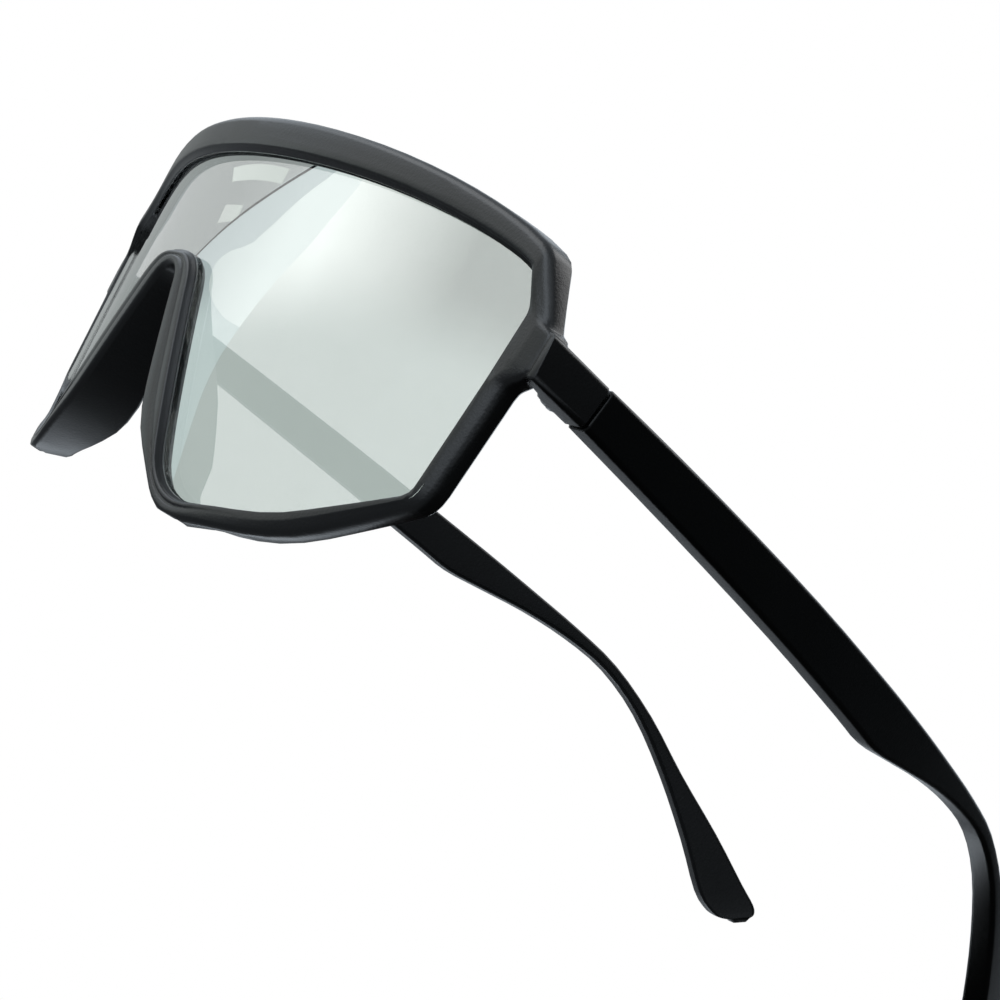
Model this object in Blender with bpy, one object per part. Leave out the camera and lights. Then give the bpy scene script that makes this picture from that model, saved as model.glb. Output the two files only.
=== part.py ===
# Oversized shield sunglasses: a one piece moulded front with a stepped rim and
# moulded nose, one wrapped lens held in a groove, and two curved temples on
# three knuckle barrel hinges. Metres, Z up, the glasses face the negative Y side.
# They stand as they rest on a table: on the two rim bottoms and the two temple tips.

import bpy
import bmesh
from math import atan2, ceil, cos, hypot, pi, radians, sin, tan
from mathutils import Vector

for old in list(bpy.data.objects):
    bpy.data.objects.remove(old, do_unlink=True)

# Driving dimensions

half_width = 0.0720        # middle of the bridge to a temple's outer face
front_lean = radians(11.7)   # the front leans back from the temples' upright
rest_pitch = radians(3.54)   # the temples slope down to the back at rest
stand_back = 0.08657       # front apex to the middle of the footprint
stand_share = 0.5035       # table to the front apex, as a share of half_width

# The front's bow: how far it falls back at bow_span, and the flattening past it
bow_span = 0.0500
bow_fall = 0.01124
bow_flatten = 0.00199

# Brow line and the lens line under it, both falling away from the middle
brow_height = 0.0138
brow_fall = 0.0028
brow_hook = 0.0012
lens_height = 0.0089
lens_fall = 0.0016
lens_hook = 0.0014

# Rim section
rim_depth = 0.0037
side_sink = 0.0008         # how far the rim's face lies back beside and under the lens
side_tilt = 0.0003         # and how much further back its outer edge is there
front_round = 0.0010       # rounding of the rim's outer front edge
back_round = 0.0005
lip_land = 0.0004          # first step of the lens opening
lip_step = 0.0008          # second step, at the front face
lip_back = 0.0012          # depth of the lip's rear face, where the groove starts
bead_dip = 0.00035         # depth of the line between the two beads of the nose rim
groove_depth = 0.0011      # how far the groove goes into the rim
groove_share = 0.55        # and never more than this share of the rim's width
lens_bite = 0.0008         # how far the lens goes into the groove
lens_gap = 0.0003
lens_thickness = 0.0011
nose_depth = 0.0095        # front to back of the moulded nose surfaces
nose_foot_depth = 0.0060   # the same at their lower ends
arch_depth = 0.0048        # and over the bridge
nose_draft = 0.0016        # how far a nose surface leans away from the gap
foot_flare = 0.0004        # how far a nose surface's foot spreads down to its back
arch_crown = 0.0003        # rise of the arch's middle over its corners

# Arms of the front and the temples
arm_length = 0.00918       # root of the arm to the seam between arm and temple
seam_gap = 0.0003
seam_chamfer = 0.00025
limb_thickness = 0.0040
limb_round = 0.0007
arm_top = 0.0004           # below the datum of the temples' upper edge
arm_bottom = 0.0056
arm_sink = 0.0021          # depth of the arm's root in the lug
arm_blend = 0.0027         # run in which the arm takes its full width
lug_share = 0.94           # place of the lug across, as a share of half_width
arm_proud = 0.0001
temple_turn = 0.1058       # inward run of the temple for each metre back
temple_curl = 0.00508      # its further inward curl, over half_width squared
tip_thickness = 0.0046

# Hinges
hinge_inset = 0.0057       # axis inward of the temple's outer face
hinge_ahead = 0.0017       # axis ahead of the seam
barrel_radius = 0.0013
bore_radius = 0.0008
pin_radius = 0.00055
knuckle = 0.00105          # height of one knuckle
knuckle_gap = 0.00025
stack_top = 0.0011
leaf_thickness = 0.0009
leaf_gap = 0.0003
leaf_length = 0.0075       # length of the temple leaf's plate
leaf_low = 0.0042          # lower edge of a leaf's plate
front_leaf_low = 0.0046
front_leaf_share = 0.37    # length of the front leaf's plate, of the arm's length
screw_head_radius = 0.0011
screw_head_height = 0.0005
screw_end = 0.0003
slot_width = 0.00035
slot_depth = 0.00025

overrun = 0.0010           # how far a cutter passes what it cuts

# Outline corners of one half, as shares of half_width: across, up, radius
opening_corner_shares = (
    (0.901, 0.029, 0.014),
    (0.928, -0.031, 0.030),
    (0.911, -0.143, 0.42),
    (0.875, -0.337, 0.030),
    (0.625, -0.448, 0.55),
    (0.350, -0.5045, 0.146),
    (0.094, -0.084, 0.111),
)
outer_corner_shares = (
    (0.925, 0.067, 0.048),
    (0.975, -0.044, 0.010),
    (0.995, -0.054, 0.007),
    (0.985, -0.118, 0.014),
    (0.946, -0.142, 0.024),
    (0.906, -0.347, 0.060),
    (0.653, -0.483, 0.55),
    (0.388, -0.531, 0.135),
    (0.198, -0.401, 0.25),
    (0.038, -0.115, 0.055),
)
# Which corners face each other across the rim, with the stations between them
rim_legs = ((0, 0, 22), (1, 1, 5), (2, 4, 18), (3, 5, 9), (5, 7, 17), (6, 9, 17))
arch_stations = 7
end_crowding = 0.55        # how much closer stations stand near the corners
brow_share = 0.86          # how far out the brow curve runs before its corner

# Side view of a temple, shares of half_width back from the seam and up
upper_edge_shares = (
    (0.0, -0.004), (0.28, 0.008), (0.60, 0.018), (0.86, 0.0205), (0.965, 0.0207),
    (1.06, 0.020), (1.18, 0.0175), (1.315, 0.013), (1.45, -0.001), (1.60, -0.048),
    (1.75, -0.119), (1.91, -0.188), (2.035, -0.251), (2.088, -0.277), (2.102, -0.295),
    (2.098, -0.309),
)
lower_edge_shares = (
    (0.0, -0.078), (0.28, -0.0765), (0.60, -0.0755), (0.86, -0.0785), (0.955, -0.0795),
    (1.05, -0.0625), (1.18, -0.0375), (1.31, -0.0245), (1.435, -0.0290), (1.57, -0.070),
    (1.715, -0.152), (1.855, -0.252), (1.957, -0.336), (2.010, -0.3575), (2.036, -0.3555),
    (2.058, -0.344),
)
edge_steps = 3

stand_up = stand_share * half_width


def worn(across, back, up):
    # From the frame of the temples to the standing frame
    return Vector((across, cos(rest_pitch) * back + sin(rest_pitch) * up - stand_back,
                   cos(rest_pitch) * up - sin(rest_pitch) * back + stand_up))


def bow(across):
    span = (across / bow_span) ** 2
    return bow_fall * span - bow_flatten * span * span


def on_front(across, depth, rise):
    # From the leaning front, with depth behind its bowed face
    back = bow(across) + depth
    return worn(across, cos(front_lean) * back - sin(front_lean) * rise,
                sin(front_lean) * back + cos(front_lean) * rise)


def falling(across, height, fall, hook):
    span = (across / bow_span) ** 2
    return height - fall * span - hook * span * span


def outer_face(back):
    share = back / half_width
    return half_width - temple_turn * back - temple_curl * share * share


def face_normal(back):
    slope = temple_turn + 2 * temple_curl * back / half_width ** 2
    size = hypot(1, slope)
    return 1 / size, slope / size


def outline(curve, corner_shares, last_height):
    # Brow curve, then straight runs with rounded corners, to the middle of the arch
    reach = brow_share * half_width
    count = 24
    points = []
    for step in range(count + 1):
        across = reach * step / count
        points.append(Vector((across, falling(across, *curve))))
    corners = [(Vector((a, u)) * half_width, r * half_width) for a, u, r in corner_shares]
    knots = [points[-1]] + [place for place, radius in corners]
    knots.append(Vector((0, last_height)))
    middles = []
    for index, (place, radius) in enumerate(corners):
        before = (place - knots[index]).normalized()
        after = (knots[index + 2] - place).normalized()
        turn = atan2(before.x * after.y - before.y * after.x, before.dot(after))
        run = radius * tan(abs(turn) / 2)
        side = 1 if turn > 0 else -1
        centre = place - before * run + side * radius * Vector((-before.y, before.x))
        spoke = place - before * run - centre
        steps = 2 * max(2, ceil(abs(turn) / radians(16)))
        for step in range(steps + 1):
            angle = turn * step / steps
            points.append(centre + Vector((spoke.x * cos(angle) - spoke.y * sin(angle),
                                           spoke.x * sin(angle) + spoke.y * cos(angle))))
        middles.append(len(points) - 1 - steps // 2)
    points.append(knots[-1])
    return points, middles


def crowded(share):
    return share - end_crowding * sin(2 * pi * share) / (2 * pi)


def spaced(points, count):
    # Points along a polyline, closer to each other at its ends, without the last one
    runs = [0.0]
    for a, b in zip(points, points[1:]):
        runs.append(runs[-1] + (b - a).length)
    result = []
    index = 0
    for step in range(count):
        goal = runs[-1] * crowded(step / count)
        while runs[index + 1] < goal:
            index += 1
        share = (goal - runs[index]) / (runs[index + 1] - runs[index])
        result.append(points[index].lerp(points[index + 1], share))
    return result


def smooth_step(share):
    share = min(1.0, max(0.0, share))
    return share * share * (3 - 2 * share)


arch_top = opening_corner_shares[-1][1] * half_width + arch_crown
arch_under = outer_corner_shares[-1][1] * half_width


def rim_stations():
    # Pairs of an inner and an outer point with what shapes the section between them
    inner, inner_marks = outline((lens_height, lens_fall, lens_hook),
                                 opening_corner_shares, arch_top)
    outer, outer_marks = outline((brow_height, brow_fall, brow_hook),
                                 outer_corner_shares, arch_under)
    stations = []
    inner_at = 0
    outer_at = 0
    last_leg = len(rim_legs) - 1
    for leg, (inner_corner, outer_corner, count) in enumerate(rim_legs):
        inner_end = inner_marks[inner_corner]
        outer_end = outer_marks[outer_corner]
        ring = zip(spaced(inner[inner_at:inner_end + 1], count),
                   spaced(outer[outer_at:outer_end + 1], count))
        for step, (a, b) in enumerate(ring):
            share = crowded(step / count)
            depth = rim_depth
            bead = 0.0
            open_step = 0.3
            sink = side_sink
            flare = 0.0
            if leg == 0:
                open_step = 1.0
                sink = 0.0
            if leg == 1:
                open_step = 1.0 - 0.7 * share
                sink = side_sink * smooth_step(share)
            if leg == last_leg - 1:
                grow = smooth_step((share - 0.7) / 0.3)
                depth = rim_depth + (nose_foot_depth - rim_depth) * grow
                bead = grow
                open_step = 0.3 + 0.7 * grow
                sink = side_sink * (1 - smooth_step((share - 0.4) / 0.5))
                flare = foot_flare * grow
            if leg == last_leg:
                rise = smooth_step(share / 0.35)
                drop = smooth_step((share - 0.45) / 0.55)
                depth = nose_foot_depth + (nose_depth - nose_foot_depth) * rise
                depth += (arch_depth - nose_depth) * drop
                bead = 1.0
                open_step = 1.0
                sink = 0.0
                flare = foot_flare * (1 - rise)
            stations.append((a, b, depth, bead, open_step, sink, flare))
        inner_at = inner_end
        outer_at = outer_end
    ring = zip(spaced(inner[inner_at:], arch_stations), spaced(outer[outer_at:], arch_stations))
    for a, b in ring:
        stations.append((a, b, arch_depth, 1.0, 1.0, 0.0, 0.0))
    stations.append((inner[-1], outer[-1], arch_depth, 1.0, 1.0, 0.0, 0.0))
    return stations


def rim_section(a, b, depth, bead, open_step, sink, flare):
    # Closed section from the lens lip over the front, the outer wall and the back
    width = (b - a).length
    along = (b - a) / width
    step = lip_step * open_step
    land = lip_land * open_step
    face = width - step - front_round
    groove = min(groove_depth, width * groove_share)
    lean = nose_draft * (depth - rim_depth) / nose_depth - flare
    groove_back = lip_back + 2 * lens_gap + lens_thickness
    lip = lip_back - sink
    edge = sink + side_tilt * sink / side_sink
    shape = (
        (groove, lip_back), (0, lip_back), (0, sink + lip * 0.7),
        (land, sink + lip * 0.6), (land * 1.2, sink + lip * 0.2), (step, sink),
        (step + face * 0.30, sink), (step + face * 0.46, sink + bead_dip * bead),
        (step + face * 0.62, sink), (width - front_round, edge),
        (width - front_round * 0.5, edge + front_round * 0.13),
        (width - front_round * 0.13, edge + front_round * 0.5), (width, edge + front_round),
        (width - lean, depth - back_round), (width - lean - back_round, depth),
        (width * 0.55, depth), (width * 0.50, rim_depth),
        (back_round * 0.6, rim_depth), (0, rim_depth - back_round * 0.6),
        (0, groove_back), (groove, groove_back),
    )
    result = []
    for out, back in shape:
        place = a + along * out
        result.append(on_front(place.x, back, place.y))
    return result


def loft(rings, closed):
    # Skin a list of equal rings, and cap the two ends unless the loft closes on itself
    bm = bmesh.new()
    rows = [[bm.verts.new(point) for point in ring] for ring in rings]
    pairs = list(zip(rows, rows[1:]))
    if closed:
        pairs.append((rows[-1], rows[0]))
    count = len(rows[0])
    for first, second in pairs:
        for index in range(count):
            after = (index + 1) % count
            bm.faces.new((first[index], first[after], second[after], second[index]))
    if not closed:
        bm.faces.new(rows[0])
        bm.faces.new(rows[-1])
    bmesh.ops.recalc_face_normals(bm, faces=bm.faces)
    return bm


def stand_flat(bm):
    # Trim what reaches under the table plane, which leaves the resting flats
    geometry = list(bm.verts) + list(bm.edges) + list(bm.faces)
    cut = bmesh.ops.bisect_plane(bm, geom=geometry, plane_co=(0, 0, 0), plane_no=(0, 0, -1),
                                 clear_outer=True)
    rim = [item for item in cut["geom_cut"] if isinstance(item, bmesh.types.BMEdge)]
    bmesh.ops.holes_fill(bm, edges=rim, sides=0)
    bmesh.ops.recalc_face_normals(bm, faces=bm.faces)


def material(name, colour, roughness, metallic, alpha=1.0):
    made = bpy.data.materials.new(name)
    made.use_nodes = True
    shader = made.node_tree.nodes["Principled BSDF"]
    shader.inputs["Base Color"].default_value = (*colour, 1)
    shader.inputs["Roughness"].default_value = roughness
    shader.inputs["Metallic"].default_value = metallic
    shader.inputs["Alpha"].default_value = alpha
    return made


matte_black = (0.022, 0.025, 0.028)
steel_grey = (0.42, 0.42, 0.43)
frame_plastic = material("front_frame", matte_black, 0.5, 0.0)
lens_mirror = material("shield_lens", (0.72, 0.76, 0.76), 0.06, 0.6, 0.6)


def add_object(name, bm, surface, axis=None, cutter=False, sharp=38):
    mesh = bpy.data.meshes.new(name)
    if axis is not None:
        bmesh.ops.translate(bm, verts=bm.verts, vec=-axis.location)
    bm.to_mesh(mesh)
    bm.free()
    mesh.shade_smooth()
    mesh.set_sharp_from_angle(angle=radians(sharp))
    made = bpy.data.objects.new(name, mesh)
    bpy.context.collection.objects.link(made)
    if axis is not None:
        made.parent = axis
    if cutter:
        made.hide_render = True
        made.display_type = "WIRE"
    else:
        mesh.materials.append(surface)
    return made


def boolean(target, tool, operation):
    step = target.modifiers.new(tool.name, "BOOLEAN")
    step.operation = operation
    step.solver = "EXACT"
    step.object = tool


def rounded_ring(side, corners, radius, place):
    # Rounded rectangle: corners are low and high of two shares, mapped by place
    low_a, high_a, low_b, high_b = corners
    steps = 3
    ring = []
    middles = ((high_a - radius, high_b - radius, 0), (low_a + radius, high_b - radius, 1),
               (low_a + radius, low_b + radius, 2), (high_a - radius, low_b + radius, 3))
    for a, b, quarter in middles:
        for step in range(steps + 1):
            angle = pi / 2 * (quarter + step / steps)
            ring.append(place(side, a + radius * cos(angle), b + radius * sin(angle)))
    return ring


def arm(side):
    # The end piece that carries the hinge, from inside the lug to the seam
    end = seam_reach - seam_gap / 2
    full = arm_start + arm_blend
    stations = (
        (arm_start, half_width - limb_thickness * 0.58, 0, limb_round),
        (full, half_width - limb_thickness * 0.75, 0, limb_round),
        (full + arm_blend * 0.2, half_width - limb_thickness * 0.95, 0, limb_round),
        (full + arm_blend * 0.7, half_width - limb_thickness, 0, limb_round),
        (end - seam_chamfer, half_width - limb_thickness, 0, limb_round),
        (end, half_width - limb_thickness, seam_chamfer, limb_round),
    )
    rings = []
    for back, inside, inset, radius in stations:
        lean = tan(front_lean) if back < full + arm_blend * 0.5 else 0

        def place(side, across, up, back=back, lean=lean):
            return worn(side * across, back - lean * (up + arm_top), up)

        corners = (inside + inset, half_width + arm_proud - inset,
                   -arm_bottom + inset, -arm_top - inset)
        rings.append(rounded_ring(side, corners, radius, place))
    return loft(rings, False)


def between(points, share):
    # Smooth curve through the points, a share from zero to one for each run
    index = min(int(share), len(points) - 2)
    t = share - index
    p1 = Vector(points[index])
    p2 = Vector(points[index + 1])
    p0 = Vector(points[index - 1]) if index else p1 * 2 - p2
    p3 = Vector(points[index + 2]) if index + 2 < len(points) else p2 * 2 - p1
    return 0.5 * (2 * p1 + (p2 - p0) * t + (2 * p0 - 5 * p1 + 4 * p2 - p3) * t * t
                  + (3 * p1 - p0 - 3 * p2 + p3) * t ** 3)


def temple(side):
    runs = len(upper_edge_shares) - 1
    start = seam_gap / 2
    shares = [step / edge_steps for step in range(runs * edge_steps + 1)]
    rings = []
    for number, share in enumerate([0, 0] + shares[1:] + [shares[-1]]):
        top = between(upper_edge_shares, share) * half_width
        low = between(lower_edge_shares, share) * half_width
        inset = 0.0
        if number == 0:
            inset = seam_chamfer
            top.x = low.x = start
        if number == 1:
            top.x = low.x = start + seam_chamfer
        tall = (top - low).length
        wide = limb_thickness + (tip_thickness - limb_thickness) * smooth_step(share / runs * 3 - 2)
        radius = limb_round
        if number == len(shares) + 1:
            inset = limb_round
            radius = limb_round * 0.5
            push = (top - low).normalized()
            top += Vector((-push.y, push.x)) * -limb_round
            low += Vector((-push.y, push.x)) * -limb_round

        def place(side, deep, high, top=top, low=low, tall=tall):
            spot = low.lerp(top, high / tall)
            out_x, out_y = face_normal(spot.x)
            out_y *= smooth_step(spot.x / limb_thickness / 2)
            return worn(side * (outer_face(spot.x) - deep * out_x),
                        seam_reach + spot.x - deep * out_y, spot.y)

        rings.append(rounded_ring(side, (inset, wide - inset, inset, tall - inset),
                                  radius, place))
    return loft(rings, False)


def plate(side, sheet, inner_depth, outer_depth):
    # Flat sheet drawn from the side as points back and up, standing at two depths
    # inside the temple's outer face, which it follows
    rings = []
    for deep in (inner_depth, outer_depth):
        ring = []
        for back, up in sheet:
            out_x, out_y = face_normal(max(back, 0))
            across = outer_face(max(back, 0)) - deep * out_x
            ring.append(worn(side * across, seam_reach + back, up))
        rings.append(ring)
    return loft(rings, False)


def box_sheet(start, end, low, high):
    return ((start, low), (end, low), (end, high), (start, high))


def turned(side, profile, segments):
    # Revolve a profile of radius and height about the hinge axis
    bm = bmesh.new()
    rows = []
    for radius, up in profile:
        row = []
        for step in range(segments):
            angle = 2 * pi * step / segments
            row.append(bm.verts.new(worn(side * hinge_across + radius * cos(angle),
                                         hinge_back + radius * sin(angle), up)))
        rows.append(row)
    for first, second in zip(rows, rows[1:]):
        for index in range(segments):
            after = (index + 1) % segments
            bm.faces.new((first[index], first[after], second[after], second[index]))
    bm.faces.new(rows[0])
    bm.faces.new(rows[-1])
    bmesh.ops.recalc_face_normals(bm, faces=bm.faces)
    return bm


arm_middle = (arm_top + arm_bottom) / 2
arm_start = cos(front_lean) * (bow(lug_share * half_width) + arm_sink)
arm_start += sin(front_lean) * arm_middle
seam_reach = arm_start + arm_length
front_leaf_length = arm_length * front_leaf_share
hinge_across = half_width - hinge_inset
hinge_back = seam_reach - hinge_ahead
first_low = -stack_top - knuckle
second_top = first_low - knuckle_gap
second_low = second_top - knuckle
third_top = second_low - knuckle_gap
third_low = third_top - knuckle
leaf_out = limb_thickness - leaf_gap
leaf_in = leaf_out + leaf_thickness
barrel_sides = 24


# Front frame

half = [rim_section(*station) for station in rim_stations()]
mirrored = [[Vector((-p.x, p.y, p.z)) for p in ring] for ring in half]
front_mesh = loft(half + mirrored[-2:0:-1], True)
stand_flat(front_mesh)
front_frame = add_object("front_frame", front_mesh, frame_plastic)

# Lens: the opening outline grown into the groove, thickened, then bent to the bow

lens_mesh = bmesh.new()
edge = []
for a, b, *section_values in rim_stations():
    along = (b - a).normalized()
    edge.append(a + along * min(lens_bite, (b - a).length * groove_share - lens_gap))
edge += [Vector((-p.x, p.y)) for p in edge[-2:0:-1]]
lens_front = lip_back + lens_gap
face = lens_mesh.faces.new([lens_mesh.verts.new((p.x, 0, p.y)) for p in edge])
thick = bmesh.ops.extrude_face_region(lens_mesh, geom=[face])
moved = [item for item in thick["geom"] if isinstance(item, bmesh.types.BMVert)]
bmesh.ops.translate(lens_mesh, verts=moved, vec=(0, lens_thickness, 0))
slices = 48
for index in range(1, slices):
    across = half_width * (2 * index / slices - 1)
    geometry = list(lens_mesh.verts) + list(lens_mesh.edges) + list(lens_mesh.faces)
    bmesh.ops.bisect_plane(lens_mesh, geom=geometry, plane_co=(across, 0, 0),
                           plane_no=(1, 0, 0))
for vert in lens_mesh.verts:
    vert.co = on_front(vert.co.x, lens_front + vert.co.y, vert.co.z)
bmesh.ops.triangulate(lens_mesh, faces=lens_mesh.faces)
bmesh.ops.recalc_face_normals(lens_mesh, faces=lens_mesh.faces)
shield_lens = add_object("shield_lens", lens_mesh, lens_mirror)

# Arms, temples and hinges of both sides

for side_name, side in (("left", 1), ("right", -1)):
    arm_tool = add_object(side_name + "_arm_form", arm(side), None, cutter=True)
    boolean(front_frame, arm_tool, "UNION")
    pocket_depth = leaf_out - leaf_gap
    pocket_top = -stack_top + leaf_gap
    sheet = box_sheet(-hinge_ahead - front_leaf_length - leaf_gap, overrun,
                      -arm_bottom - overrun, pocket_top)
    front_pocket = plate(side, sheet, limb_thickness + overrun, pocket_depth)
    pocket_tool = add_object(side_name + "_arm_pocket", front_pocket, None, cutter=True)
    boolean(front_frame, pocket_tool, "DIFFERENCE")

    axis = bpy.data.objects.new(side_name + "_hinge_axis", None)
    axis.location = worn(side * hinge_across, hinge_back, 0)
    bpy.context.collection.objects.link(axis)
    bpy.context.view_layer.update()

    temple_mesh = temple(side)
    stand_flat(temple_mesh)
    plastic = material(side_name + "_temple", matte_black, 0.48, 0.0)
    temple_object = add_object(side_name + "_temple", temple_mesh, plastic, axis)
    sheet = box_sheet(-overrun, leaf_length + leaf_gap, -leaf_low - leaf_gap, pocket_top)
    temple_pocket = plate(side, sheet, limb_thickness + overrun, pocket_depth)
    pocket_tool = add_object(side_name + "_temple_pocket", temple_pocket, None, axis, True)
    boolean(temple_object, pocket_tool, "DIFFERENCE")

    steel = material(side_name + "_front_hinge_leaf", steel_grey, 0.35, 1.0)
    root = -hinge_ahead - front_leaf_length
    fork = -hinge_ahead - barrel_radius - knuckle_gap
    sheet = ((root, -front_leaf_low), (-hinge_ahead, -front_leaf_low),
             (-hinge_ahead, third_top), (fork, third_top), (fork, first_low),
             (-hinge_ahead, first_low), (-hinge_ahead, -stack_top), (root, -stack_top))
    front_leaf = add_object(side_name + "_front_hinge_leaf",
                            plate(side, sheet, leaf_in, leaf_out), steel)
    steel = material(side_name + "_temple_hinge_leaf", steel_grey, 0.35, 1.0)
    sheet = ((-hinge_ahead, second_low), (seam_gap, second_low), (seam_gap, -leaf_low),
             (leaf_length, -leaf_low), (leaf_length, -stack_top), (seam_gap, -stack_top),
             (seam_gap, second_top), (-hinge_ahead, second_top))
    temple_leaf = add_object(side_name + "_temple_hinge_leaf",
                             plate(side, sheet, leaf_in, leaf_out), steel, axis)
    knuckles = (
        ("upper", front_leaf, first_low, -stack_top, None),
        ("lower", front_leaf, third_low, third_top, None),
        ("middle", temple_leaf, second_low, second_top, axis),
    )
    for label, leaf, low, high, owner in knuckles:
        barrel = turned(side, ((barrel_radius, low), (barrel_radius, high)), barrel_sides)
        barrel_tool = add_object(side_name + "_" + label + "_barrel", barrel, None, owner, True)
        boolean(leaf, barrel_tool, "UNION")
    for leaf, owner in ((front_leaf, None), (temple_leaf, axis)):
        bore = turned(side, ((bore_radius, third_low - overrun), (bore_radius, overrun)),
                      barrel_sides)
        bore_tool = add_object(leaf.name + "_bore", bore, None, owner, True)
        boolean(leaf, bore_tool, "DIFFERENCE")

    head_low = -stack_top + knuckle_gap
    head_top = head_low + screw_head_height
    end_low = third_low - screw_end
    soft = screw_head_height * 0.3
    profile = (
        (pin_radius - soft, end_low), (pin_radius, end_low + soft), (pin_radius, head_low),
        (screw_head_radius, head_low), (screw_head_radius, head_top - soft),
        (screw_head_radius - soft, head_top),
    )
    steel = material(side_name + "_hinge_screw", steel_grey, 0.3, 1.0)
    screw = add_object(side_name + "_hinge_screw", turned(side, profile, barrel_sides), steel)
    slot = bmesh.new()
    bmesh.ops.create_cube(slot, size=1.0)
    long = 2 * screw_head_radius + overrun
    for vert in slot.verts:
        centre_up = head_top - slot_depth + overrun / 2
        vert.co = worn(side * hinge_across + vert.co.x * slot_width,
                       hinge_back + vert.co.y * long, centre_up + vert.co.z * overrun)
    slot_tool = add_object(side_name + "_screw_slot", slot, None, cutter=True)
    boolean(screw, slot_tool, "DIFFERENCE")
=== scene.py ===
from math import cos, radians, sin

import bmesh
import bpy
from mathutils import Matrix, Vector


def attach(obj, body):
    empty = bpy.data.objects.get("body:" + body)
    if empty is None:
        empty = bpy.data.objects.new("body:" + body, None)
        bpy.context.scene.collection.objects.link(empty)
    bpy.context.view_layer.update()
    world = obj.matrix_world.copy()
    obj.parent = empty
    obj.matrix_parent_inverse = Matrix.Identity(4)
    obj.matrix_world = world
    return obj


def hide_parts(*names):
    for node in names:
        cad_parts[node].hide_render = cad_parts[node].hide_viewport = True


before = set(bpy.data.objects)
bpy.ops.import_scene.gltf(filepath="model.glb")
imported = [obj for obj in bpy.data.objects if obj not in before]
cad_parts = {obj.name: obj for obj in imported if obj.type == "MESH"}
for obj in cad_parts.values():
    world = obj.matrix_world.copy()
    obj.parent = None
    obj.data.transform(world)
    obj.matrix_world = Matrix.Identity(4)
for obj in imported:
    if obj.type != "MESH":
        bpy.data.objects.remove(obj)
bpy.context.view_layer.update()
scene = bpy.context.scene
scene.view_settings.view_transform = "Standard"
print("frame loaded:", len(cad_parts), "nodes")


# Node helpers: a value is a plain number, a colour or another node's output

def newMaterial(name):
    made = bpy.data.materials.new(name)
    made.use_nodes = True
    return made, made.node_tree, made.node_tree.nodes["Principled BSDF"]


def feed(tree, socket, value):
    if isinstance(value, bpy.types.NodeSocket):
        tree.links.new(value, socket)
    else:
        socket.default_value = value


def addNode(tree, kind, values=None, **settings):
    node = tree.nodes.new(kind)
    for key, value in settings.items():
        setattr(node, key, value)
    for key, value in (values or {}).items():
        feed(tree, node.inputs[key], value)
    return node


def maths(tree, operation, *values):
    return addNode(tree, "ShaderNodeMath", dict(enumerate(values)), operation=operation).outputs[0]


def dotProduct(tree, first, second):
    node = addNode(tree, "ShaderNodeVectorMath", {0: first, 1: second}, operation="DOT_PRODUCT")
    return node.outputs["Value"]


def mapped(tree, value, start, end, low=0.0, high=1.0, kind="LINEAR"):
    values = {"Value": value, "From Min": start, "From Max": end, "To Min": low, "To Max": high}
    return addNode(tree, "ShaderNodeMapRange", values, interpolation_type=kind).outputs["Result"]


def mixed(tree, factor, first, second, kind="RGBA"):
    node = addNode(tree, "ShaderNodeMix", {"Factor": factor, "A": first, "B": second}, data_type=kind)
    return node.outputs["Result"]


def noise(tree, place, scale, detail, roughness):
    values = {"Vector": place, "Scale": scale, "Detail": detail, "Roughness": roughness}
    return addNode(tree, "ShaderNodeTexNoise", values).outputs["Fac"]


def shaded(tree, factor, colour, shares, stops):   # the colour times each share, at its stop
    node = addNode(tree, "ShaderNodeValToRGB", {"Fac": factor})
    for element, share, stop in zip(node.color_ramp.elements, shares, stops):
        element.position = stop
        element.color = (*(channel * share for channel in colour), 1)
    return node.outputs["Color"]


# Moulded plastic: a fine spark texture with slow cloudy variation, and dust specks

plasticLook = {   # a noise is its scale per metre, its detail and its roughness
    "cloud": (55.0, 4.0, 0.6),
    "cloudShares": (0.82, 1.22),   # darkest and lightest share of the colour
    "cloudStops": (0.30, 0.72),
    "cloudSheen": (-0.05, 0.06),   # what the clouds add to the roughness
    "dustScale": 230.0,
    "dustShare": 0.045,            # share of the cells that hold a speck
    "dustSize": 0.040,             # the speck's radius as a share of its cell
    "dustColour": (0.34, 0.36, 0.37),
    "edgeReach": 0.00015,          # metres, how far from an edge the texture is rubbed down
    "edgeSamples": 4,
    "edgeBend": (0.32, 0.80),      # distance of the normals where wear starts and is full
    "edgeWear": 0.45,
    "edgePolish": 0.4,             # what full wear takes off the roughness
    "edgeColour": (0.050, 0.055, 0.058),
    "grain": (3400.0, 2.0, 0.5),
    "grainHeight": 0.000030,
    "grainStrength": 0.8,
}
frontFinish = {
    "colour": (0.0018, 0.0025, 0.0031), "roughness": 0.34, "gloss": 0.42,
    "shift": (0.13, 0.0481, 0.0923),   # moves the pattern, so that no two pieces share it
}
templeFinish = {
    "colour": (0.0012, 0.0018, 0.0022), "roughness": 0.30, "gloss": 0.22,
    "shift": (0.57, 0.2109, 0.4047),
}


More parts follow.
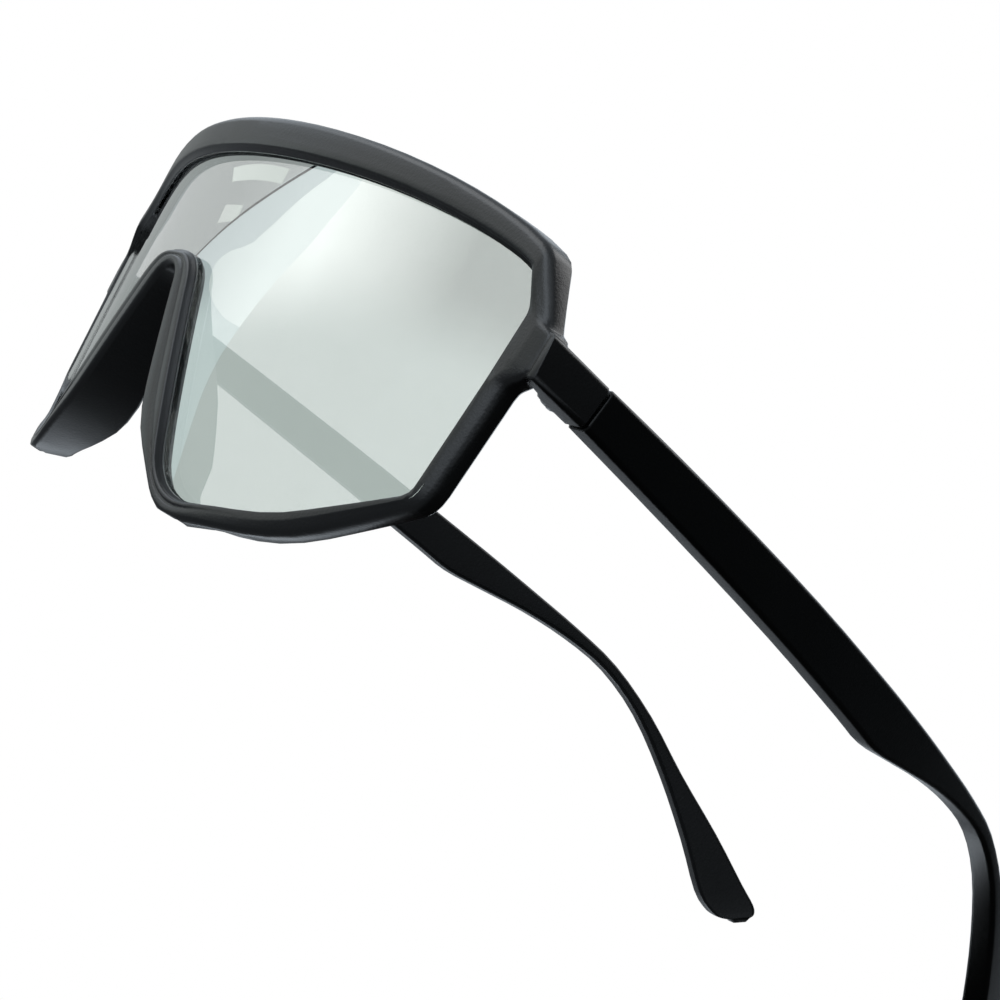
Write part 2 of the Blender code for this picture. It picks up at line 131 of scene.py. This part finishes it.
def mouldedPlastic(name, finish):
    made, tree, shader = newMaterial(name)
    coords = addNode(tree, "ShaderNodeTexCoord").outputs["Object"]
    shifted = {"Vector": coords, "Location": finish["shift"]}
    place = addNode(tree, "ShaderNodeMapping", shifted).outputs["Vector"]
    cloud = noise(tree, place, *plasticLook["cloud"])
    body = shaded(tree, cloud, finish["colour"], plasticLook["cloudShares"],
                  plasticLook["cloudStops"])

    cells = {"Vector": place, "Scale": plasticLook["dustScale"]}
    specks = addNode(tree, "ShaderNodeTexVoronoi", cells).outputs
    chance = addNode(tree, "ShaderNodeSeparateColor", {"Color": specks["Color"]}).outputs["Red"]
    few = maths(tree, "GREATER_THAN", chance, 1 - plasticLook["dustShare"])
    near = maths(tree, "LESS_THAN", specks["Distance"], plasticLook["dustSize"])
    dust = maths(tree, "MULTIPLY", few, near)

    # wear: close to an edge the texture is rubbed down
    rolled = addNode(tree, "ShaderNodeBevel", {"Radius": plasticLook["edgeReach"]},
                     samples=plasticLook["edgeSamples"])
    plain = addNode(tree, "ShaderNodeNewGeometry").outputs["True Normal"]
    normals = {0: rolled.outputs["Normal"], 1: plain}
    apart = addNode(tree, "ShaderNodeVectorMath", normals, operation="DISTANCE").outputs["Value"]
    rubbed = mapped(tree, apart, *plasticLook["edgeBend"], high=plasticLook["edgeWear"])
    patchy = maths(tree, "MULTIPLY", rubbed, cloud)
    worn = mixed(tree, patchy, body, (*plasticLook["edgeColour"], 1))
    dusty = mixed(tree, dust, worn, (*plasticLook["dustColour"], 1))
    feed(tree, shader.inputs["Base Color"], dusty)

    smooth, coarse = plasticLook["cloudSheen"]
    sheen = mapped(tree, cloud, 0.0, 1.0, finish["roughness"] + smooth, finish["roughness"] + coarse)
    polished = maths(tree, "MULTIPLY_ADD", patchy, -plasticLook["edgePolish"], sheen)
    feed(tree, shader.inputs["Roughness"], polished)

    grain = noise(tree, place, *plasticLook["grain"])
    raised = {"Height": grain, "Strength": plasticLook["grainStrength"],
              "Distance": plasticLook["grainHeight"]}
    bump = addNode(tree, "ShaderNodeBump", raised).outputs["Normal"]
    feed(tree, shader.inputs["Normal"], bump)
    shader.inputs["Specular IOR Level"].default_value = finish["gloss"]
    return made


# Mirror coated lens: the coated front wall reflects most, the inner wall is nearly clear

lensLook = {
    "mirrorTint": (0.560, 0.600, 0.580),
    "mottle": (90.0, 5.0, 0.65),
    "mottleShares": (0.97, 1.0),
    "mottleStops": (0.3, 0.7),
    "haze": (0.004, 0.008),   # least and most roughness
    "coatedCover": 0.75,      # how much of the view the coating hides
    "clearCover": 0.09,
}


def coatedLens(name):
    made, tree, shader = newMaterial(name)
    coords = addNode(tree, "ShaderNodeTexCoord").outputs["Object"]
    mottle = noise(tree, coords, *lensLook["mottle"])
    tint = shaded(tree, mottle, lensLook["mirrorTint"], lensLook["mottleShares"],
                  lensLook["mottleStops"])
    feed(tree, shader.inputs["Base Color"], tint)
    feed(tree, shader.inputs["Roughness"], mapped(tree, mottle, 0.0, 1.0, *lensLook["haze"]))
    coated = addNode(tree, "ShaderNodeAttribute", attribute_name="coated").outputs["Fac"]
    cover = mapped(tree, coated, 0.0, 1.0, lensLook["clearCover"], lensLook["coatedCover"])
    feed(tree, shader.inputs["Alpha"], cover)
    shader.inputs["Metallic"].default_value = 1.0
    return made


# Hinge steel, brushed along the temples

steelLook = {
    "brushStretch": (1.0, 0.12, 1.0),
    "brush": (900.0, 3.0, 0.55),
    "brushShares": (0.75, 1.0),
    "brushStops": (0.35, 0.68),
    "brushSheen": (-0.06, 0.10),   # what the brushing adds to the roughness
}
leafFinish = {"colour": (0.34, 0.34, 0.35), "roughness": 0.38}
screwFinish = {"colour": (0.48, 0.48, 0.49), "roughness": 0.28}


def hingeSteel(name, finish):
    made, tree, shader = newMaterial(name)
    coords = addNode(tree, "ShaderNodeTexCoord").outputs["Object"]
    stretched = {"Vector": coords, "Scale": steelLook["brushStretch"]}
    place = addNode(tree, "ShaderNodeMapping", stretched).outputs["Vector"]
    brush = noise(tree, place, *steelLook["brush"])
    body = shaded(tree, brush, finish["colour"], steelLook["brushShares"], steelLook["brushStops"])
    feed(tree, shader.inputs["Base Color"], body)
    smooth, coarse = steelLook["brushSheen"]
    sheen = mapped(tree, brush, 0.0, 1.0, finish["roughness"] + smooth, finish["roughness"] + coarse)
    feed(tree, shader.inputs["Roughness"], sheen)
    shader.inputs["Metallic"].default_value = 1.0
    return made


frontPlastic = mouldedPlastic("moulded front plastic", frontFinish)
templePlastic = mouldedPlastic("moulded temple plastic", templeFinish)
lensCoating = coatedLens("mirror lens")
leafSteel = hingeSteel("stamped leaf steel", leafFinish)
screwSteel = hingeSteel("turned screw steel", screwFinish)
print("materials made")


# Visible pieces: the solids' own shapes, merged and given soft shading

pieceLook = {   # sharp: edges that bend by more degrees than this stay sharp
    "front_frame": {"body": "front", "slot": "frame_plastic", "finish": frontPlastic, "sharp": 34},
    "shield_lens": {"body": "front", "slot": "mirror_lens", "finish": lensCoating, "sharp": 40},
}
sideLook = {   # these are there once on each side
    "temple": {"body": "temple", "slot": "temple_plastic", "finish": templePlastic, "sharp": 40},
    "front_hinge_leaf": {"body": "front", "slot": "hinge_steel", "finish": leafSteel, "sharp": 35},
    "temple_hinge_leaf": {"body": "temple", "slot": "hinge_steel", "finish": leafSteel, "sharp": 35},
    "hinge_screw": {"body": "front", "slot": "screw_steel", "finish": screwSteel, "sharp": 35},
}
for name, look in sideLook.items():
    for side in ("left", "right"):
        body = "front" if look["body"] == "front" else f"{side}_temple"
        pieceLook[f"{side}_{name}"] = {**look, "body": body}
mergeReach = 0.000002   # metres


def newObject(name, shape, material):   # from a bmesh, which is freed
    mesh = bpy.data.meshes.new(name)
    shape.to_mesh(mesh)
    shape.free()
    mesh.materials.append(material)
    made = bpy.data.objects.new(name, mesh)
    scene.collection.objects.link(made)
    return made


def softenedCopy(node, look):
    shape = bmesh.new()
    shape.from_mesh(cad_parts[node].data)
    bmesh.ops.remove_doubles(shape, verts=shape.verts, dist=mergeReach)
    piece = newObject(node + "_piece", shape, look["finish"])
    piece.data.shade_smooth()
    piece.data.set_sharp_from_angle(angle=radians(look["sharp"]))
    if node != "shield_lens":
        weighted = piece.modifiers.new("weighted", "WEIGHTED_NORMAL")   # flat faces stay flat
        weighted.keep_sharp = True
    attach(piece, look["body"])
    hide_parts(node)
    return piece


pieces = {node: softenedCopy(node, look) for node, look in pieceLook.items()}
print("pieces made:", len(pieces))


# The bow of the front: how deep it is and which way it faces, at a place across it

bowLook = {
    "span": 0.0500,     # metres from the middle
    "fall": 0.01124,    # how far a plain bow falls back at the span
    "ease": 0.0006,     # and what this one falls less there, because it flattens outwards
    "lean": 11.7,       # degrees that the front leans back
    "pitch": 3.54,      # degrees that the temples slope down
}
slant = radians(bowLook["lean"] - bowLook["pitch"])


def bowDepth(across):
    share = across / bowLook["span"]
    return bowLook["fall"] * share ** 2 - bowLook["ease"] * share ** 4


def bowNormal(across):
    share = across / bowLook["span"]
    slope = (2 * bowLook["fall"] * share - 4 * bowLook["ease"] * share ** 3) / bowLook["span"]
    return Vector((slope, -cos(slant), -sin(slant))).normalized()


def easeBetween(value, none, full):
    share = min(1.0, max(0.0, (value - none) / (full - none)))
    return share * share * (3 - 2 * share)


# The lens bends evenly: each wall's shading follows the bow itself, not its flat strips

bendLook = {
    "wall": 0.7,                 # cosine to the bow's normal past which a face is a wall
    "flush": 0.0006,             # at its sides the lens moves forward, up to the rim's face
    "flushed": (0.045, 0.062),   # across: no move yet, and the full move
}


def bendShading(piece):
    mesh = piece.data
    coated = mesh.attributes.new("coated", "FLOAT", "FACE")
    normals = [None] * len(mesh.loops)
    for face in mesh.polygons:
        outward = face.normal.dot(bowNormal(face.center.x))
        coated.data[face.index].value = 1.0 if outward > bendLook["wall"] else 0.0
        for loop in face.loop_indices:
            bent = bowNormal(mesh.vertices[mesh.loops[loop].vertex_index].co.x)
            if outward > bendLook["wall"]:
                normals[loop] = bent
            elif outward < -bendLook["wall"]:
                normals[loop] = -bent
            else:
                normals[loop] = face.normal
    for corner in mesh.vertices:
        move = bendLook["flush"] * easeBetween(abs(corner.co.x), *bendLook["flushed"])
        corner.co += bowNormal(corner.co.x) * move
    mesh.normals_split_custom_set(normals)


# The solid stands on flats. The visible rim is rounded up behind them, as the real one is

bottomLook = {   # each pair: no lift yet, and the full lift
    "lift": 0.0010,
    "foot": 0.0815,               # how far ahead the middle of the bow is at table level
    "depth": (0.0022, 0.0042),    # behind the front face
    "height": (0.0060, 0.0005),
    "inner": (0.018, 0.025),      # across, from the nose and from the side
    "outer": (0.064, 0.050),
}


def roundBottom(piece):
    for corner in piece.data.vertices:
        across = abs(corner.co.x)
        height = corner.co.z
        depth = corner.co.y + bottomLook["foot"] - bowDepth(across) + sin(slant) * height
        corner.co.z += (bottomLook["lift"] * easeBetween(depth, *bottomLook["depth"])
                        * easeBetween(height, *bottomLook["height"])
                        * easeBetween(across, *bottomLook["inner"])
                        * easeBetween(across, *bottomLook["outer"]))


bendShading(pieces["shield_lens"])
roundBottom(pieces["front_frame"])
print("lens bent and rim rounded")


# Camera at the photograph's viewpoint, under the level of the table

cameraLook = {
    "place": (0.22857, -0.15337, -0.00986),
    "aim": (-0.85986, 0.48540, 0.15819),
    "roll": 33.446,
    "lens": 65.363,
    "sensor": 36.0,
    "shiftX": -0.00679,
    "shiftY": -0.00663,
    "nearest": 0.005,
}
cameraData = bpy.data.cameras.new("camera")
cameraData.lens = cameraLook["lens"]
cameraData.sensor_width = cameraLook["sensor"]
cameraData.sensor_fit = "HORIZONTAL"
cameraData.shift_x = cameraLook["shiftX"]
cameraData.shift_y = cameraLook["shiftY"]
cameraData.clip_start = cameraLook["nearest"]
camera = bpy.data.objects.new("camera", cameraData)
scene.collection.objects.link(camera)
turn = Vector(cameraLook["aim"]).to_track_quat("-Z", "Y").to_matrix().to_4x4()
camera.matrix_world = (Matrix.Translation(cameraLook["place"]) @ turn
                       @ Matrix.Rotation(radians(cameraLook["roll"]), 4, "Z"))
scene.camera = camera
print("camera placed")


# Stage: a pale table that can't be seen from below, a white world and soft lamps

tableLook = {"size": 12.0, "colour": (0.90, 0.90, 0.90), "roughness": 0.9}
worldLook = {
    "colour": (1.0, 1.0, 1.0),
    "light": 0.50,
    # what gloss sees: a bright room that falls off to a dark side behind the temples
    "glossColour": (0.91, 1.0, 1.09),
    "glossTop": 1.50,
    "glossFloor": 0.04,
    "darkSide": (50.0, 10.0),   # azimuth and elevation of its middle, degrees
    "darkFall": (0.30, 0.86),   # cosine to it where the room starts to fall off, and is darkest
    # it is darker below the table's level and overhead: heights as sines, and the share left
    "below": (0.08, -0.22, 0.15),
    "above": (0.38, 0.80, 0.35),
    # and it has two soft bright patches: far and near are cosines to their middles
    "frontWindow": {"at": (-85.0, 8.0), "far": 0.80, "near": 0.985, "level": 1.6},
    "tableGlow": {"at": (146.0, -41.0), "far": 0.955, "near": 0.990, "level": 2.2},
}


def direction(azimuth, elevation):
    flat = cos(radians(elevation))
    return Vector((flat * cos(radians(azimuth)), flat * sin(radians(azimuth)), sin(radians(elevation))))


def makeTable():
    shape = bmesh.new()
    bmesh.ops.create_grid(shape, x_segments=1, y_segments=1, size=tableLook["size"] / 2)
    made, tree, shader = newMaterial("pale table")
    shader.inputs["Base Color"].default_value = (*tableLook["colour"], 1)
    shader.inputs["Roughness"].default_value = tableLook["roughness"]
    shader.inputs["Specular IOR Level"].default_value = 0.0
    # solid from above to the camera and to shadow rays, clear to other rays and from below
    path = addNode(tree, "ShaderNodeLightPath").outputs
    solid = maths(tree, "MAXIMUM", path["Is Camera Ray"], path["Is Shadow Ray"])
    back = addNode(tree, "ShaderNodeNewGeometry").outputs["Backfacing"]
    share = maths(tree, "MAXIMUM", back, maths(tree, "SUBTRACT", 1.0, solid))
    clear = addNode(tree, "ShaderNodeBsdfTransparent").outputs["BSDF"]
    mix = addNode(tree, "ShaderNodeMixShader", {"Fac": share, 1: shader.outputs["BSDF"], 2: clear})
    feed(tree, tree.nodes["Material Output"].inputs["Surface"], mix.outputs["Shader"])
    newObject("table", shape, made)


def makeWorld():
    world = bpy.data.worlds.new("studio")
    world.use_nodes = True
    scene.world = world
    tree = world.node_tree
    way = addNode(tree, "ShaderNodeTexCoord").outputs["Generated"]
    toDark = dotProduct(tree, way, direction(*worldLook["darkSide"]))
    gloss = mapped(tree, toDark, *worldLook["darkFall"], worldLook["glossTop"],
                   worldLook["glossFloor"], "SMOOTHSTEP")
    height = addNode(tree, "ShaderNodeSeparateXYZ", {"Vector": way}).outputs["Z"]
    for start, end, share in (worldLook["below"], worldLook["above"]):
        fall = mapped(tree, height, start, end, 1.0, share, "SMOOTHSTEP")
        gloss = maths(tree, "MULTIPLY", gloss, fall)
    for patch in (worldLook["frontWindow"], worldLook["tableGlow"]):
        toPatch = dotProduct(tree, way, direction(*patch["at"]))
        glow = mapped(tree, toPatch, patch["far"], patch["near"], 0.0, patch["level"], "SMOOTHSTEP")
        gloss = maths(tree, "ADD", gloss, glow)
    path = addNode(tree, "ShaderNodeLightPath").outputs
    colour = mixed(tree, path["Is Glossy Ray"], (*worldLook["colour"], 1),
                   (*worldLook["glossColour"], 1))
    lit = mixed(tree, path["Is Glossy Ray"], worldLook["light"], gloss, "FLOAT")
    seen = maths(tree, "MAXIMUM", path["Is Camera Ray"], path["Is Transmission Ray"])
    background = tree.nodes["Background"]
    feed(tree, background.inputs["Color"], colour)
    feed(tree, background.inputs["Strength"], mixed(tree, seen, lit, 1.0, "FLOAT"))


# Studio cards that only gloss sees: the mirror lens shows them as its bands and panes.
# They stand on one wall ahead of the glasses. Places are metres across it and up from the
# table. A card's edge is a smooth curve through a few places and its corners are straight,
# and its light fades from one place on it to another.

wallLook = {
    "azimuth": -140.0, "from": (0.02, -0.09, 0.0), "distance": 1.20,
    "shelf": [(0.28, 0.210), (0.133, 0.178), (-0.048, 0.154), (-0.255, 0.133), (-0.38, 0.117)],
    "shelfHalf": 0.0018,
    "curveSteps": 4,
}
cardLook = {
    "soft box": {
        "ahead": 0.020, "levels": ((1.76, 1.78, 1.76), (0.59, 0.63, 0.61)),
        "fade": ((0.25, 0.13), (0.80, 0.13)),
        "lower": {"level": (0.94, 1.01, 0.99), "from": 0.105, "to": 0.01},
        "edge": [(0.288, 0.152), (0.257, 0.124), (0.191, 0.090), (0.129, 0.060), (0.083, 0.028),
                 (0.057, -0.004), (0.072, -0.044), (0.136, -0.089), (0.20, -0.20)],
        "corners": [(1.60, -0.20), (1.60, 0.45), (0.30, 0.45)],
    },
    "pale band": {
        "ahead": 0.015, "levels": ((1.08, 1.17, 1.17), (1.48, 1.56, 1.56)),
        "fade": ((-0.20, 0.10), (0.10, 0.10)),
        "edge": [(0.30, 0.20), (0.175, 0.163), (0.073, 0.139), (-0.050, 0.106), (-0.149, 0.104),
                 (-0.205, 0.096), (-0.165, 0.071), (-0.028, 0.042), (0.083, 0.028)],
        "corners": [(0.40, 0.028), (0.60, 0.45), (0.42, 0.45)],
    },
    "blue band": {   # below the shelf
        "ahead": 0.010, "levels": ((0.72, 0.81, 0.84), (1.00, 1.10, 1.13)),
        "fade": ((-0.38, 0.12), (0.10, 0.16)),
        "lower": {"level": (1.10, 1.23, 1.24), "from": 0.085, "to": 0.03},
        "edge": wallLook["shelf"],
        "corners": [(-0.406, 0.10), (-0.45, 0.03), (-0.50, -0.20), (0.30, -0.20), (0.70, 0.45),
                    (0.55, 0.45)],
    },
    "grey wall": {   # above the shelf
        "ahead": 0.0, "levels": ((0.71, 0.73, 0.74), (0.50, 0.53, 0.53)),
        "fade": ((0.16, 0.18), (-0.30, 0.18)),
        "corners": [(0.80, 0.26), (0.80, -0.20), (-2.60, -0.20), (-2.60, 1.20), (-0.95, 0.60),
                    (-0.45, 0.34), (-0.30, 0.26)],
    },
    "shelf edge": {   # a thin black line
        "ahead": 0.012, "levels": ((0.0, 0.0, 0.0), (0.0, 0.0, 0.0)),
        "fade": ((0.0, 0.0), (0.1, 0.0)),
        "edge": wallLook["shelf"], "half": wallLook["shelfHalf"],
    },
    "long pane": {
        "ahead": 0.005, "levels": ((0.99, 1.05, 1.01), (0.92, 0.98, 0.94)),
        "fade": ((-0.40, 0.18), (-0.05, 0.18)),
        "corners": [(-0.427, 0.205), (-0.053, 0.170), (-0.056, 0.157), (-0.379, 0.186)],
    },
    "short pane": {
        "ahead": 0.005, "levels": ((0.89, 0.92, 0.90), (0.92, 0.98, 0.94)),
        "fade": ((-0.34, 0.14), (-0.21, 0.14)),
        "corners": [(-0.339, 0.161), (-0.216, 0.149), (-0.213, 0.135), (-0.335, 0.144)],
    },
    "gloss shade sheet": {   # painted shade for gloss: a dark sheet just above the table, by the near temple, that darkens what the temples reflect below them: x and y there
        "onTable": 0.0004, "levels": ((0.02, 0.02, 0.02), (0.05, 0.05, 0.05)),
        "fade": ((0.10, 0.0), (0.60, 0.3)),
        "corners": [(0.03, -0.05), (0.90, -0.45), (0.90, 1.00), (0.10, 1.00), (0.08, 0.05),
                    (0.025, 0.045)],
    },
}


def smoothCurve(places, steps):   # passes through each place, and is rounded between them
    points = [Vector(place) for place in places]
    points = [2 * points[0] - points[1]] + points + [2 * points[-1] - points[-2]]
    made = []
    for before, start, end, after in zip(points, points[1:], points[2:], points[3:]):
        for step in range(steps):
            t = step / steps
            made.append(0.5 * (2 * start + (end - before) * t
                               + (2 * before - 5 * start + 4 * end - after) * t ** 2
                               + (3 * start - before - 3 * end + after) * t ** 3))
    return made + [points[-2]]


def cardOutline(look):
    edge = smoothCurve(look["edge"], wallLook["curveSteps"]) if "edge" in look else []
    if "half" in look:
        up = Vector((0.0, look["half"]))
        return [place + up for place in edge] + [place - up for place in reversed(edge)]
    return edge + [Vector(corner) for corner in look["corners"]]


def cardPlace(look, corner):
    if "onTable" in look:
        return Vector((*corner, look["onTable"]))
    ahead = direction(wallLook["azimuth"], 0.0)
    across = Vector((-ahead.y, ahead.x, 0.0))
    foot = Vector(wallLook["from"]) + ahead * (wallLook["distance"] - look["ahead"])
    return foot + across * corner[0] + Vector((0.0, 0.0, corner[1]))


def cardGlow(name, look):
    made, tree, shader = newMaterial(name)
    tree.nodes.remove(shader)
    coords = addNode(tree, "ShaderNodeTexCoord").outputs["Object"]
    start, end = (cardPlace(look, place) for place in look["fade"])
    span = (end - start) / (end - start).length_squared
    along = dotProduct(tree, coords, span)
    share = mapped(tree, along, start.dot(span), start.dot(span) + 1.0)
    colour = mixed(tree, share, *((*level, 1) for level in look["levels"]))
    if "lower" in look:
        lower = look["lower"]
        height = addNode(tree, "ShaderNodeSeparateXYZ", {"Vector": coords}).outputs["Z"]
        down = mapped(tree, height, lower["from"], lower["to"], kind="SMOOTHSTEP")
        colour = mixed(tree, down, colour, (*lower["level"], 1))
    glow = addNode(tree, "ShaderNodeEmission", {"Color": colour}).outputs["Emission"]
    feed(tree, tree.nodes["Material Output"].inputs["Surface"], glow)
    return made


def makeCard(name, look):
    shape = bmesh.new()
    shape.faces.new([shape.verts.new(cardPlace(look, corner)) for corner in cardOutline(look)])
    bmesh.ops.triangulate(shape, faces=shape.faces)
    card = newObject(name, shape, cardGlow(name, look))
    card.visible_camera = False
    card.visible_diffuse = False
    card.visible_transmission = False
    card.visible_shadow = False


lampLook = {
    "top": {"place": (0.05, 0.30, 0.80), "aim": (0.0, -0.02, 0.02), "size": 0.7, "watts": 3.0},
    "front": {"place": (-0.40, -0.75, 0.62), "aim": (0.0, -0.06, 0.02), "size": 0.6, "watts": 1.6},
}


def makeLamp(name, look):
    data = bpy.data.lights.new(name, "AREA")
    data.shape = "DISK"
    data.size = look["size"]
    data.energy = look["watts"]
    lamp = bpy.data.objects.new(name, data)
    scene.collection.objects.link(lamp)
    aim = Vector(look["aim"]) - Vector(look["place"])
    lamp.matrix_world = (Matrix.Translation(look["place"])
                         @ aim.to_track_quat("-Z", "Y").to_matrix().to_4x4())


makeTable()
makeWorld()
for name, look in cardLook.items():
    makeCard(name, look)
for name, look in lampLook.items():
    makeLamp(name, look)
print("stage made:", len(cardLook), "cards and", len(lampLook), "lamps")
